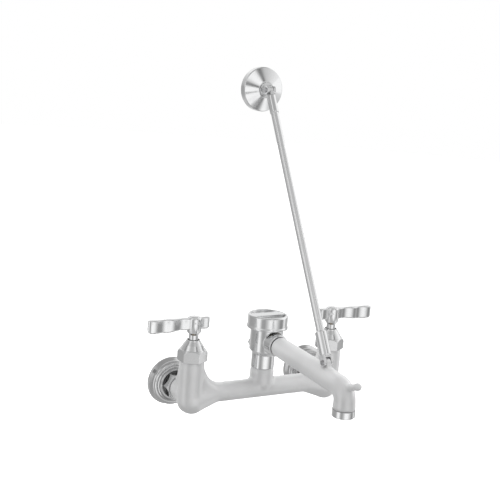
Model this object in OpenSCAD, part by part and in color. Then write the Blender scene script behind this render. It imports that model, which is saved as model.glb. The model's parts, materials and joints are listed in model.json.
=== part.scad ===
// Wall-mounted service sink faucet: a cast yoke with two lever valves, a vacuum breaker,
// a spout with a pail hook and a hose outlet, and a hinged brace up to the wall.
// Millimetres. The origin lies on the wall plane, midway between the two supply inlets.
// +X runs right along the wall, +Z up, and -Y out of the wall towards the user.

// The piece to draw, or all of them

/* [Supply inlets] */

// Distance between the two supply inlets
inlet_spacing = 203.2; // [185:0.1:225]
// Radius of the tapped supply socket
inlet_bore_r = 9.25; // [8.5:0.05:10]
// Depth of the tapped supply socket
inlet_bore_depth = 11.5; // [10:0.5:13]
// Metal around the supply socket
shank_wall = 3.5; // [3:0.1:4]
// Radius of a wall flange where it meets the wall
flange_r = 31.4; // [29.4:0.5:36.4]
// Depth of a wall flange from the wall to its front edge
flange_depth = 17.5; // [16.5:0.5:20]
// Size across the flats of a coupling nut
coupling_af = 30; // [28:0.5:32]
// Length of a coupling nut
coupling_len = 16.2; // [15:0.2:18]

/* [Yoke casting] */

// Distance from the wall to the valve axes
valve_standoff = 60; // [56:0.5:72]
// Drop of the bridge tube below the inlets
bridge_drop = 0; // [0:0.5:4]
// Radius of the bridge tube
bridge_r = 12; // [11:0.25:13]
// Radius of the valve posts
post_r = 15.5; // [15:0.1:16]
// Height of the post shoulders above the inlets
post_top = 45; // [42.5:0.5:48]
// Inside radius of the sweep from the bridge tube up to a post
sweep_r = 30; // [24:0.5:30]
// Radius of the round heels under the posts
heel_r = 17; // [16:0.25:18]
// Radius of the inlet arms
arm_r = 14; // [13:0.25:14.5]
// Radius of the centre riser
riser_r = 14.8; // [14.2:0.1:15.5]
// Height of the riser shoulder above the inlets
riser_top = 28.5; // [26:0.5:31]

/* [Valves] */

// Outside radius of the valve cartridges
cartridge_r = 9.5; // [9:0.1:10]
// Radius of the valve spindles
spindle_r = 4.2; // [3.6:0.1:4.6]
// Thickness of the ceramic discs
disc_t = 3; // [2.4:0.1:3.4]
// Size across the flats of the bonnets
bonnet_af = 32.6; // [32.4:0.2:36]
// Height of the hexagon of a bonnet
bonnet_hex_h = 12; // [10.5:0.5:13]
// Whole height of a bonnet
bonnet_h = 27; // [26:0.5:28.5]

/* [Lever handles] */

// Height of the top of a hub above the inlets
hub_top = 100.5; // [98:0.5:105]
// Radius of a handle hub
hub_r = 8.8; // [8.4:0.1:10]
// Height of a handle hub
hub_h = 20.5; // [19:0.5:22]
// Radius of the neck under a hub
neck_r = 6; // [5.6:0.1:6.5]
// Length of a lever from the valve axis
lever_len = 62; // [52:1:75]
// Length of the short tail from the valve axis
tail_len = 20; // [17:0.5:26]
// Height of a lever blade
blade_h = 16.5; // [14:0.5:18]
// Mean thickness of a lever blade
blade_t = 7; // [5.5:0.25:8.5]
// Swell of the blade at its two grips
blade_swell = 2.2; // [1:0.1:2.8]

/* [Vacuum breaker] */

// Distance of the breaker chamber in front of the riser
chamber_fwd = 4.5; // [0:0.5:6]
// Outside radius of the breaker chamber
chamber_r = 21; // [20.2:0.2:22.4]
// Height of the top of the breaker chamber
chamber_top = 81; // [80:0.5:84]
// Outside radius of the breaker cap
cap_r = 25.6; // [25.2:0.2:28]
// Height of the breaker cap
cap_h = 17.4; // [16.8:0.2:19]
// Lift of the float
float_lift = 3.6; // [2.4:0.2:3.8]

/* [Spout] */

// Outside radius of the spout
spout_r = 12.4; // [12:0.1:13]
// Bore radius of the spout
spout_bore_r = 8.6; // [8:0.1:8.8]
// Angle of the spout below level
spout_angle = 2.4; // [0:0.2:5]
// Height of the spout axis at the breaker chamber
spout_z = 66.8; // [66:0.1:67.2]
// Distance from the chamber axis to the outlet axis
outlet_reach = 179.5; // [170:0.5:210]
// Bend radius of the spout nose
bend_r = 15; // [14.5:0.25:18]
// Outside radius of the hose thread collar
hose_r = 13.45; // [13:0.05:14.5]
// Height of the hose thread collar
hose_h = 8.5; // [8:0.5:12]
// Length of the pail hook
hook_len = 26.5; // [25:0.5:34]

/* [Wall brace] */

// Distance from the chamber axis to the fork pin
lug_reach = 138.5; // [120:0.5:150]
// Height of the fork pin above the spout axis
lug_rise = 17.3; // [17.2:0.1:20]
// Sideways place of the brace flange from the middle
brace_side = 0; // [-40:1:40]
// Height of the brace flange above the inlets
brace_rise = 378; // [340:1:420]
// Distance from the wall to the bracket pin
brace_standoff = 24.5; // [23.5:0.5:28]
// Radius of the brace rod
rod_r = 4.75; // [4.3:0.05:5.2]
// Radius of the fork sleeve at the spout
fork_r = 7; // [6.8:0.1:7.6]
// Radius of the eye sleeve at the wall
eye_r = 5.5; // [5.1:0.1:6]
// Radius of the brace flange
brace_flange_r = 27.8; // [25:0.1:33]
// Radius of the tapped hole for the wall stud
stud_hole_r = 4; // [3.4:0.1:4.4]

/* [Hidden] */

$fn = 64;
EPS = 0.5;
FIT = 0.1;
SLIP = 0.05;
AIR = 0.3;
JOIN = 1;
HEX_TURN = 30;
FLARE_STEPS = 12;

chrome = [0.80, 0.82, 0.84];
cast_chrome = [0.62, 0.63, 0.64];
brass = [0.76, 0.62, 0.32];
rubber = [0.10, 0.10, 0.11];
ceramic = [0.92, 0.91, 0.88];
steel = [0.70, 0.70, 0.71];

inlet_x = inlet_spacing / 2;
bridge_z = -bridge_drop;
water_r = 6.5;

// union between shank and yoke, as distances from the wall
socket_end = inlet_bore_depth + 1.5;
shank_r = inlet_bore_r + shank_wall;
shank_neck_r = water_r + 1.9;
nut_lip = 2.2;
nut_back = socket_end + AIR;
nut_front = nut_back + coupling_len;
arm_face = nut_front + AIR;
union_r = coupling_af / 2 - 4.5;
shank_collar_t = 3;
collar_back = nut_back + nut_lip + SLIP;
collar_front = collar_back + shank_collar_t;
washer_t = 1.5;
spigot_end = collar_front + washer_t;

// wall flange
flange_wall = 1.6;
flange_mouth_r = coupling_af / 2 / cos(HEX_TURN) + 0.7;
flange_front_r = flange_mouth_r + 2.3;
flange_web_front = socket_end - 0.2;
flange_web_back = flange_web_front - 2;

// yoke
heel_shift = 3;
heel_drop = 7;
heel_run = 36;
sweep_inset = 0.3;
sweep_path = sweep_r + bridge_r;
arm_root_r = arm_r + 0.6;
arm_hold = 13;
arm_run = 10;
web_from = [2, post_top - 11];
web_to = [16, 1];
web_top_r = post_r - 1.3;
web_foot_r = arm_r - 1.2;
riser_foot = 6;
riser_thread_r = riser_r - 3.6;
riser_thread_len = 11.5;
riser_bore_r = 8;
bridge_bore_r = 7;
bridge_bore_end = 32;
port_r = 3.2;

// valve stack, heights above the inlets
seat_z = water_r - 1.5;
seal_t = 3;
sleeve_z = seat_z + seal_t;
film = 0.1;
disc_r = cartridge_r - 1.3;
moving_z = sleeve_z + disc_t + film;
driver_z = moving_z + disc_t;
driver_t = 3.4;
cavity_top = driver_z + driver_t + AIR;
window_z = driver_z + driver_t / 2;
window_r = 1.9;
thread_r = post_r - 2;
thread_len = 10.5;
post_end = post_top + thread_len;
sleeve_flange_t = 3;
guide_r = 6.8;
guide_len = 9;
guide_top = post_end + sleeve_flange_t + guide_len;
bonnet_z = post_top + AIR;
bonnet_top = post_top + bonnet_h;
bonnet_hole_r = neck_r + 1.5;
bonnet_corner_r = bonnet_af / 2 / cos(HEX_TURN);
stem_ring_z = guide_top - 5;
stem_ring_r = 0.55;

// handle
hub_z = hub_top - hub_h;
neck_z = bonnet_top - 2.5;
spindle_top = hub_top - 7;
screw_r = 2;
screw_seat = hub_top - 4.2;
screw_head_r = 4;
screw_head_h = 2.5;
screw_depth = 9;
button_r = hub_r - 3.2;
button_seat = hub_top - 1.5;
button_h = 2.6;
grip_pitch = 21.4;
grip_place = 29;
blade_top = hub_top - 0.8;
blade_tip = 3.5;
blade_rise = 1.8;
blade_corner = 4.5;
blade_steps = 54;

// breaker, heights above the inlets
tube_len = 18.5;
chamber_z = riser_top + tube_len;
chamber_taper = 6;
cavity_wall = 3.4;
cavity_r = chamber_r - cavity_wall;
cavity_floor = 5;
cavity_z = chamber_z + cavity_floor;
standpipe_r = 10;
standpipe_bore_r = 7.5;
standpipe_top = chamber_top - 13;
collar_r = spout_r + 1.8;
collar_root_r = collar_r + 0.7;
collar_round = 1.6;
collar_len = chamber_r + 11;
plug_rise = 26;
plug_z = riser_top + plug_rise;
plug_r = 6.5;
plug_boss_r = 9.6;
plug_boss_end = chamber_r + 3.2;
plug_af = 17;
plug_head_h = 6;
plug_thread_len = 6.5;

float_seal_z = standpipe_top + film;
float_seal_t = 1;
float_seal_r = standpipe_r - 0.4;
float_z = float_seal_z + float_seal_t;
float_r = standpipe_r + 0.2;
float_t = 3.2;
float_stem_r = 2.55;
float_stem_top = chamber_top - 0.5;
valve_face = float_z + float_t + float_lift + film;
air_port_r = 8;
insert_r = cavity_r - FIT;
insert_rim_r = chamber_r - 1.2;
insert_rim_t = 2.5;
insert_open_r = 14;
insert_plate_t = 3;
spider_r = 5.2;
spider_z = valve_face + 0.6;
spider_top = chamber_top + 5.2;
spider_arm_w = 3;
guide_bore_top = float_stem_top + float_lift + 0.6;
stud_r = 3;
stud_top = chamber_top + 11.6;

cap_z = chamber_top + 0.8;
cap_top = cap_z + cap_h;
cap_wall = 2.2;
cap_roof_t = 3.2;
cap_recess = 3;
cap_rim = 3.4;
cap_round = 2;
cap_lip = 0.7;
cap_lip_h = 4;
cap_boss_r = 5.5;
cap_bar_w = 13;
cap_bar_h = 3;
cap_bore_top = stud_top + 0.5;

// spout, along its own axis from the chamber axis
spigot_r = spout_bore_r + 0.8;
spigot_len = 14;
washer_ring_t = 1.2;
washer_ring_r = spout_r - 0.4;
spout_start = collar_len + washer_ring_t;
bend_turn = 90 - spout_angle;
bend_tangent = bend_r * tan(bend_turn / 2);
bend_start = outlet_reach / cos(spout_angle) - bend_tangent;
nose_z = spout_z - outlet_reach * tan(spout_angle) - bend_tangent;
nose_len = 8.8;
nose_swell = 0.7;
outlet_top = nose_z - nose_len;
outlet_end = outlet_top - hose_h;
outlet_neck_r = spout_bore_r + 2.2;
outlet_neck_len = hose_h - 2.2;
bend_y = outlet_reach - bend_r;
o_ring_r = 0.62;
o_ring_path = spigot_r - 0.52;
o_ring_places = [4.2, 9.6];
lock_r = 2;
lock_place = collar_len - 5;
lock_len = collar_r - spigot_r - FIT - 0.2;

hook_r = 4;
hook_knob_r = 4.5;
hook_root_r = 5.4;
hook_root_len = 7;
hook_notch_r = 3.1;
hook_notch = hook_len - 11;
hook_rise = 22;
hook_turn = 45;
hook_from = bend_r + spout_r - 4;

// brace
lug_pin_z = spout_z - lug_reach * tan(spout_angle) + lug_rise;
breaker_y = -valve_standoff - chamber_fwd;
fork_pin_at = [0, breaker_y - lug_reach, lug_pin_z];
bracket_pin_at = [brace_side, -brace_standoff, brace_rise];
brace_line = bracket_pin_at - fork_pin_at;
brace_len = norm(brace_line);
brace_tilt = -asin(brace_line[1] / brace_len);
brace_lean = atan2(brace_line[0], brace_line[2]);
lug_t = 6;
lug_r = 4.6;
lug_root = 12;
lug_spread = 4;
pin_r = 2.2;
pin_play = 0.08;
pin_head_r = 3.4;
pin_head_h = 1.4;
prong_t = 3;
prong_r = 4.4;
fork_slot = lug_t + 2 * AIR;
fork_root = 5.4;
fork_sleeve_z = 7.5;
fork_sleeve_len = 29.5;
fork_sleeve_end = fork_sleeve_z + fork_sleeve_len;
rod_thread_r = rod_r - 1.15;
rod_thread_len = 15;
sleeve_round = 1.2;
tongue_t = 5;
tongue_r = 5;
eye_gap = 8;
eye_len = 24;
eye_start = brace_len - eye_gap - eye_len;
ear_gap = tongue_t + 2 * AIR;
ear_t = 3;
ear_r = 5.6;
bracket_r = 9;
bracket_front = brace_standoff - 7;
stud_depth = 11;
shell_t = 1.5;
brace_rim = 9;
brace_cone_r = bracket_r + 1.6;
brace_cone_front = bracket_front - 2;

// radius falling smoothly from r0 to r1, as a profile to turn about its axis
function flare(r0, r1, hold, run, end) = concat(
  [[0, 0], [r0, 0]],
  [for (i = [0 : FLARE_STEPS])
    [r1 + (r0 - r1) * (1 + cos(180 * i / FLARE_STEPS)) / 2, hold + run * i / FLARE_STEPS]],
  [[r1, end - 2.5], [r1 - 0.7, end - 0.8], [r1 - 2, end], [0, end]]
);

// half thickness of the lever blade at a distance from the valve axis
function blade_half(u) = (blade_t + blade_swell * cos(360 * (u - grip_place) / grip_pitch)) / 2;
function tip_scale(gap) = gap >= blade_tip ? 1 : sqrt(max(0.12, 1 - pow(1 - gap / blade_tip, 2)));
function blade_edge(u) = blade_half(u) * tip_scale(min(lever_len - u, tail_len + u));

module ring(r_out, r_in, h) {
  difference() {
    cylinder(r = r_out, h = h);
    translate([0, 0, -EPS]) cylinder(r = r_in, h = h + 2 * EPS);
  }
}

module hex_bar(af, h) {
  cylinder(r = af / 2 / cos(HEX_TURN), h = h, $fn = 6);
}

// local z runs out from the wall on a supply axis
module from_wall(side) {
  translate([side * inlet_x, 0, 0]) rotate([90, 0, 0]) children();
}

module at_valve(side) {
  translate([side * inlet_x, -valve_standoff, 0]) children();
}

module at_riser() {
  translate([0, -valve_standoff, 0]) children();
}

module at_chamber() {
  translate([0, breaker_y, 0]) children();
}

// local z runs along the sloping spout
module along_spout() {
  translate([0, breaker_y, spout_z]) rotate([90 + spout_angle, 0, 0]) children();
}

// local x runs forward, local y up, local z to the left
module side_plane() {
  rotate([90, 0, -90]) children();
}

module at_fork_pin() {
  translate(fork_pin_at) rotate([0, brace_lean, 0]) children();
}

module at_bracket_pin() {
  translate(bracket_pin_at) rotate([0, brace_lean, 0]) children();
}

// local z runs up the rod, local x along the pins
module along_brace() {
  translate(fork_pin_at) rotate([brace_tilt, brace_lean, 0]) children();
}

// a post stands over its heel, and the bridge tube sweeps up into it
module post_and_heel(side) {
  heel_tilt = atan2(heel_drop, heel_run - heel_shift);
  at_valve(side)
    mirror([side > 0 ? 1 : 0, 0, 0]) {
      translate([0, 0, bridge_z - heel_drop]) {
        rotate_extrude() {
          square([post_r, post_top - bridge_z + heel_drop]);
          intersection() {
            circle(r = post_r);
            translate([0, -post_r]) square([post_r, 2 * post_r]);
          }
        }
        translate([heel_shift, 0, 0]) {
          sphere(r = heel_r);
          rotate([0, 90 - heel_tilt, 0])
            cylinder(r1 = heel_r - sweep_inset, r2 = bridge_r - sweep_inset,
              h = norm([heel_drop, heel_run - heel_shift]));
        }
      }
      translate([post_r + sweep_r, 0, bridge_z + sweep_path])
        rotate([90, 0, 0])
          rotate([0, 0, 180])
            rotate_extrude(angle = 90) translate([sweep_path, 0]) circle(r = bridge_r - sweep_inset);
      rotate([-90, 0, 0])
        rotate_extrude()
          polygon(flare(arm_root_r, arm_r, arm_hold, arm_run, valve_standoff - arm_face));
      translate([0, web_from[0], web_from[1]])
        rotate([-90 - atan2(web_from[1] - web_to[1], web_to[0] - web_from[0]), 0, 0])
          cylinder(r1 = web_top_r, r2 = web_foot_r, h = norm(web_to - web_from));
      translate([0, 0, post_top - EPS]) cylinder(r = thread_r, h = thread_len + EPS);
    }
  from_wall(side)
    translate([0, 0, spigot_end]) cylinder(r = union_r, h = arm_face - spigot_end + EPS);
}

module post_waterway(side) {
  port_drop = window_z - bridge_z;
  port_run = bridge_bore_end - cartridge_r;
  at_valve(side) {
    translate([0, 0, seat_z]) cylinder(r = cartridge_r + FIT, h = post_end - seat_z + EPS);
    cylinder(r = water_r, h = seat_z + EPS);
    translate([-side * cartridge_r, 0, window_z])
      rotate([0, -side * (90 + atan2(port_drop, port_run)), 0])
        cylinder(r = port_r, h = norm([port_drop, port_run]) + port_r);
  }
  from_wall(side)
    translate([0, 0, spigot_end - EPS]) cylinder(r = water_r, h = valve_standoff - spigot_end + EPS);
}

module riser_solid() {
  at_riser() {
    translate([0, 0, bridge_z - 2])
      cylinder(r1 = bridge_r - 0.6, r2 = riser_r, h = riser_foot + 2);
    translate([0, 0, bridge_z + riser_foot])
      cylinder(r = riser_r, h = riser_top - bridge_z - riser_foot);
    translate([0, 0, riser_top - EPS]) cylinder(r = riser_thread_r, h = riser_thread_len + EPS);
  }
}

module yoke_body() {
  color(cast_chrome)
    difference() {
      union() {
        for (side = [-1, 1]) post_and_heel(side);
        translate([-inlet_x, -valve_standoff, bridge_z])
          rotate([0, 90, 0]) cylinder(r = bridge_r, h = 2 * inlet_x);
        riser_solid();
      }
      for (side = [-1, 1]) post_waterway(side);
      at_riser() {
        translate([0, 0, bridge_z])
          cylinder(r = riser_bore_r, h = riser_top + riser_thread_len - bridge_z + EPS);
        translate([-inlet_x + bridge_bore_end, 0, bridge_z])
          rotate([0, 90, 0]) cylinder(r = bridge_bore_r, h = 2 * (inlet_x - bridge_bore_end));
      }
    }
}

module inlet_shank(side) {
  color(chrome)
    from_wall(side)
      difference() {
        union() {
          cylinder(r = shank_r, h = socket_end);
          cylinder(r = shank_neck_r, h = collar_front);
          translate([0, 0, collar_back]) cylinder(r = union_r - FIT, h = shank_collar_t);
        }
        translate([0, 0, -EPS]) cylinder(r = inlet_bore_r, h = inlet_bore_depth + EPS);
        cylinder(r = water_r, h = collar_front + EPS);
      }
}

module coupling_nut(side) {
  corner_r = coupling_af / 2 / cos(HEX_TURN);
  chamfer = 1.4;
  color(chrome)
    from_wall(side)
      translate([0, 0, nut_back])
        difference() {
          intersection() {
            hex_bar(coupling_af, coupling_len);
            rotate_extrude()
              polygon([
                [0, 0], [corner_r - chamfer, 0], [corner_r, chamfer],
                [corner_r, coupling_len - chamfer], [corner_r - chamfer, coupling_len],
                [0, coupling_len]
              ]);
          }
          translate([0, 0, -EPS]) cylinder(r = shank_neck_r + FIT, h = coupling_len);
          translate([0, 0, nut_lip]) cylinder(r = union_r + FIT, h = coupling_len);
        }
}

module union_washer(side) {
  color(rubber)
    from_wall(side) translate([0, 0, collar_front]) ring(union_r - FIT, water_r, washer_t);
}

module wall_flange(side) {
  bead_r = 4.2;
  bead_path = flange_r - 6.4;
  bead_place = flange_depth - 7;
  inner_r = shank_r + 0.25;
  color(chrome)
    from_wall(side)
      rotate_extrude()
        difference() {
          union() {
            polygon([
              [inner_r, 0], [flange_r - 0.6, 0], [flange_r, 0.6], [flange_r, 2.4],
              [flange_r - 1, 3.4], [bead_path + 3, bead_place - 1.5], [bead_path, bead_place + 3.2],
              [flange_front_r + 0.8, bead_place + 4], [flange_front_r, flange_depth - 0.8],
              [flange_front_r - 0.8, flange_depth], [inner_r, flange_depth]
            ]);
            translate([bead_path, bead_place]) circle(r = bead_r);
          }
          translate([0, flange_web_front])
            square([flange_mouth_r, flange_depth]);
          polygon([
            [inner_r - EPS, -EPS], [flange_r - flange_wall, -EPS],
            [flange_r - flange_wall - 0.4, 2.4], [bead_path + 1, bead_place - 2],
            [flange_mouth_r + 0.4, flange_web_back], [inner_r - EPS, flange_web_back]
          ]);
        }
}

module seat_seal(side) {
  color(rubber)
    at_valve(side) translate([0, 0, seat_z]) ring(cartridge_r - 0.2, water_r - 1, seal_t);
}

module fixed_disc(side) {
  slot_r = 1.9;
  color(ceramic)
    at_valve(side)
      translate([0, 0, sleeve_z])
        difference() {
          cylinder(r = disc_r, h = disc_t);
          for (way = [-1, 1])
            translate([0, way * disc_r / 2, -EPS]) cylinder(r = slot_r, h = disc_t + 2 * EPS);
        }
}

module moving_disc(side) {
  pocket_r = 2;
  color(ceramic)
    at_valve(side)
      translate([0, 0, moving_z])
        difference() {
          cylinder(r = disc_r, h = disc_t);
          for (way = [-1, 1])
            translate([way * disc_r / 2, 0, -EPS]) cylinder(r = pocket_r, h = disc_t + 2 * EPS);
        }
}

module cartridge_sleeve(side) {
  color(brass)
    at_valve(side)
      difference() {
        union() {
          translate([0, 0, sleeve_z]) cylinder(r = cartridge_r, h = post_end - sleeve_z + EPS);
          translate([0, 0, post_end]) cylinder(r = thread_r - FIT, h = sleeve_flange_t);
          translate([0, 0, post_end]) cylinder(r = guide_r, h = guide_top - post_end);
        }
        translate([0, 0, sleeve_z - EPS])
          cylinder(r = disc_r + 0.2, h = cavity_top - sleeve_z + EPS);
        cylinder(r = spindle_r + pin_play, h = guide_top + EPS);
        translate([0, 0, window_z])
          for (turn = [0, 90])
            rotate([90, 0, turn]) cylinder(r = window_r, h = 3 * cartridge_r, center = true);
      }
}

module bonnet(side) {
  hex_top = bonnet_z + bonnet_hex_h;
  edge = 1;
  rim_r = bonnet_hole_r + 1.3;
  waist_r = (bonnet_af / 2 + rim_r) / 2 - 0.6;
  waist_z = (hex_top + 3 + bonnet_top) / 2;
  color(chrome)
    at_valve(side)
      difference() {
        union() {
          intersection() {
            translate([0, 0, bonnet_z]) rotate([0, 0, HEX_TURN]) hex_bar(bonnet_af, bonnet_hex_h + 4);
            rotate_extrude()
              polygon([
                [0, bonnet_z], [bonnet_corner_r - edge, bonnet_z],
                [bonnet_corner_r, bonnet_z + edge], [bonnet_corner_r, hex_top - 1],
                [bonnet_af / 2 - 0.4, hex_top + 3], [0, hex_top + 3]
              ]);
          }
          rotate_extrude()
            polygon([
              [0, hex_top], [bonnet_af / 2 - 0.4, hex_top], [bonnet_af / 2 - 0.4, hex_top + 2.4],
              [waist_r, waist_z], [rim_r, bonnet_top - 1.2], [rim_r - 0.5, bonnet_top],
              [0, bonnet_top]
            ]);
        }
        translate([0, 0, bonnet_z - EPS])
          cylinder(r = thread_r + FIT, h = post_end + sleeve_flange_t + SLIP - bonnet_z + EPS);
        cylinder(r = bonnet_hole_r, h = bonnet_top + EPS);
      }
}

module spindle(side) {
  color(brass)
    at_valve(side)
      difference() {
        union() {
          translate([0, 0, driver_z]) cylinder(r = disc_r - FIT, h = driver_t);
          translate([0, 0, driver_z]) cylinder(r = spindle_r, h = spindle_top - driver_z);
        }
        translate([0, 0, spindle_top - screw_depth]) cylinder(r = screw_r + SLIP, h = screw_depth + EPS);
        translate([0, 0, stem_ring_z])
          rotate_extrude() translate([spindle_r - 0.35, 0]) circle(r = stem_ring_r + SLIP);
      }
}

module stem_ring(side) {
  color(rubber)
    at_valve(side)
      translate([0, 0, stem_ring_z])
        rotate_extrude()
          intersection() {
            translate([spindle_r - 0.35, 0]) circle(r = stem_ring_r);
            translate([0, -2 * stem_ring_r]) square([spindle_r + SLIP, 4 * stem_ring_r]);
          }
}

module blade_plan() {
  span = lever_len + tail_len;
  polygon(concat(
    [for (i = [0 : blade_steps])
      let (u = -tail_len + span * i / blade_steps) [-u, blade_edge(u)]],
    [for (i = [blade_steps : -1 : 0])
      let (u = -tail_len + span * i / blade_steps) [-u, -blade_edge(u)]]
  ));
}

module blade_side() {
  low = blade_top - blade_h;
  high = low + blade_rise;
  difference() {
    polygon([
      [-lever_len, blade_top], [-lever_len, low], [-0.6 * lever_len, low],
      [-0.36 * lever_len, high], [tail_len - blade_corner, high], [tail_len, high + blade_corner],
      [tail_len, blade_top]
    ]);
    difference() {
      translate([-lever_len - EPS, low - EPS]) square(blade_corner + EPS);
      translate([-lever_len + blade_corner, low + blade_corner]) circle(r = blade_corner);
    }
  }
}

module lever(side) {
  round_edge = 1.2;
  color(chrome)
    at_valve(side)
      mirror([side > 0 ? 1 : 0, 0, 0])
        difference() {
          union() {
            intersection() {
              translate([0, 0, hub_z]) linear_extrude(height = hub_h) blade_plan();
              rotate([90, 0, 0])
                linear_extrude(height = 4 * blade_t, center = true) blade_side();
            }
            rotate_extrude()
              polygon([
                [0, neck_z], [neck_r, neck_z], [neck_r, hub_z - 1.5], [hub_r - 2, hub_z],
                [hub_r, hub_z + 1.6], [hub_r, hub_top - round_edge],
                [hub_r - round_edge, hub_top], [0, hub_top]
              ]);
          }
          translate([0, 0, neck_z - EPS])
            cylinder(r = spindle_r + SLIP, h = spindle_top - neck_z + EPS);
          cylinder(r = screw_r + FIT, h = hub_top);
          translate([0, 0, screw_seat]) cylinder(r = screw_head_r + FIT, h = hub_h);
          translate([0, 0, button_seat]) cylinder(r = button_r + FIT, h = hub_h);
        }
}

module handle_screw(side) {
  socket_af = 3;
  color(steel)
    at_valve(side)
      difference() {
        union() {
          translate([0, 0, spindle_top - screw_depth + SLIP])
            cylinder(r = screw_r, h = screw_seat - spindle_top + screw_depth);
          translate([0, 0, screw_seat]) cylinder(r = screw_head_r, h = screw_head_h);
        }
        translate([0, 0, screw_seat + 1]) hex_bar(socket_af, screw_head_h);
      }
}

module index_button(side) {
  crown = 0.9;
  color(chrome)
    at_valve(side)
      translate([0, 0, button_seat])
        rotate_extrude()
          polygon([
            [0, 0], [button_r, 0], [button_r, button_h - crown], [button_r - crown, button_h - 0.3],
            [0, button_h]
          ]);
}

module breaker_body() {
  color(chrome)
    difference() {
      union() {
        at_riser() translate([0, 0, riser_top]) cylinder(r = riser_r, h = cavity_z - riser_top);
        at_chamber()
          rotate_extrude()
            polygon([
              [0, chamber_z], [chamber_r - chamber_taper, chamber_z],
              [chamber_r, chamber_z + chamber_taper], [chamber_r, chamber_top], [0, chamber_top]
            ]);
        along_spout()
          rotate_extrude()
            polygon([
              [0, 0], [collar_r - 0.6, 0], [collar_r - 0.6, chamber_r - 6],
              [collar_root_r, chamber_r - 2], [collar_root_r, chamber_r + 1.5],
              [collar_r, collar_len - 2 * collar_round], [collar_r - 0.4, collar_len - 0.8],
              [collar_r - collar_round, collar_len], [0, collar_len]
            ]);
        at_chamber()
          translate([0, 0, plug_z])
            rotate([-90, 0, 0])
              translate([0, 0, standpipe_r]) cylinder(r = plug_boss_r, h = plug_boss_end - standpipe_r);
      }
      at_riser()
        translate([0, 0, riser_top - EPS])
          cylinder(r = riser_thread_r + FIT, h = riser_thread_len + 2 * EPS);
      at_chamber() {
        translate([0, 0, cavity_z]) ring(cavity_r, standpipe_r, standpipe_top - cavity_z + EPS);
        translate([0, 0, standpipe_top]) cylinder(r = cavity_r, h = chamber_top);
        translate([0, 0, riser_top + riser_thread_len]) cylinder(r = standpipe_bore_r, h = chamber_top);
        translate([0, 0, plug_z])
          rotate([-90, 0, 0])
            translate([0, 0, cavity_r - 1]) cylinder(r = plug_r + FIT, h = 2 * cavity_r);
      }
      along_spout() {
        translate([0, 0, standpipe_r + 2]) cylinder(r = spigot_r + FIT, h = collar_len);
        translate([0, 0, lock_place])
          rotate([90, 0, 0]) translate([0, 0, spigot_r - 1]) cylinder(r = lock_r + FIT, h = collar_root_r);
      }
    }
}

module breaker_bonnet() {
  color(brass)
    at_chamber()
      difference() {
        union() {
          difference() {
            union() {
              translate([0, 0, valve_face]) cylinder(r = insert_r, h = chamber_top - valve_face);
              translate([0, 0, chamber_top]) cylinder(r = insert_rim_r, h = insert_rim_t);
            }
            translate([0, 0, valve_face + insert_plate_t]) cylinder(r = insert_open_r, h = cap_h);
            translate([0, 0, valve_face - EPS]) cylinder(r = air_port_r, h = cap_h);
          }
          translate([0, 0, spider_z]) cylinder(r = spider_r, h = spider_top - spider_z);
          translate([0, 0, spider_z]) cylinder(r = stud_r, h = stud_top - spider_z);
          for (turn = [0, 120, 240])
            rotate([0, 0, turn])
              translate([0, -spider_arm_w / 2, valve_face + insert_plate_t - 1])
                cube([insert_open_r + 1, spider_arm_w, chamber_top - valve_face - 1]);
        }
        translate([0, 0, spider_z - EPS])
          cylinder(r = float_stem_r + pin_play, h = guide_bore_top - spider_z + EPS);
      }
}

module breaker_cap() {
  bar_len = 2 * (cap_r - cap_rim) + 1;
  color(chrome)
    at_chamber()
      union() {
        difference() {
          rotate_extrude()
            difference() {
              union() {
                polygon([
                  [0, cap_z], [cap_r, cap_z], [cap_r, cap_top - cap_round],
                  [cap_r - cap_round, cap_top], [0, cap_top]
                ]);
                translate([cap_r - cap_round, cap_top - cap_round]) circle(r = cap_round);
                polygon([
                  [cap_r - 1, cap_z], [cap_r + cap_lip - 0.5, cap_z], [cap_r + cap_lip, cap_z + 0.7],
                  [cap_r + cap_lip, cap_z + cap_lip_h / 2], [cap_r, cap_z + cap_lip_h],
                  [cap_r - 1, cap_z + cap_lip_h]
                ]);
              }
              translate([0, cap_top - cap_recess]) square([cap_r - cap_rim, cap_h]);
              polygon([
                [cap_boss_r, cap_z - EPS], [cap_r - cap_wall, cap_z - EPS],
                [cap_r - cap_wall, cap_top - cap_roof_t - cap_recess - 1.5],
                [cap_r - cap_wall - 1.5, cap_top - cap_roof_t - cap_recess],
                [cap_boss_r, cap_top - cap_roof_t - cap_recess]
              ]);
              translate([0, cap_z - EPS]) square([cap_boss_r + EPS, spider_top + SLIP - cap_z + EPS]);
            }
          cylinder(r = stud_r + FIT, h = cap_bore_top);
        }
        translate([-bar_len / 2, -cap_bar_w / 2, cap_top - cap_recess - SLIP])
          cube([bar_len, cap_bar_w, cap_bar_h]);
      }
}

module float_valve() {
  color(brass)
    at_chamber() {
      translate([0, 0, float_z]) cylinder(r = float_r, h = float_t);
      translate([0, 0, float_z]) cylinder(r = float_stem_r, h = float_stem_top - float_z);
    }
}

module float_seal() {
  color(rubber)
    at_chamber() translate([0, 0, float_seal_z]) cylinder(r = float_seal_r, h = float_seal_t);
}

module rear_plug() {
  corner_r = plug_af / 2 / cos(HEX_TURN);
  crown = 1.2;
  color(chrome)
    at_chamber()
      translate([0, 0, plug_z])
        rotate([-90, 0, 0])
          translate([0, 0, plug_boss_end]) {
            intersection() {
              hex_bar(plug_af, plug_head_h);
              rotate_extrude()
                polygon([
                  [0, 0], [corner_r, 0], [corner_r, plug_head_h - crown],
                  [corner_r - 2 * crown, plug_head_h], [0, plug_head_h]
                ]);
            }
            translate([0, 0, -plug_thread_len]) cylinder(r = plug_r, h = plug_thread_len + EPS);
          }
}

module spout_bend(r, reach) {
  translate([0, breaker_y - reach, nose_z])
    side_plane()
      rotate_extrude(angle = bend_turn) translate([bend_r, 0]) circle(r = r);
}

module at_outlet(z) {
  translate([0, breaker_y - outlet_reach, z]) children();
}

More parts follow.
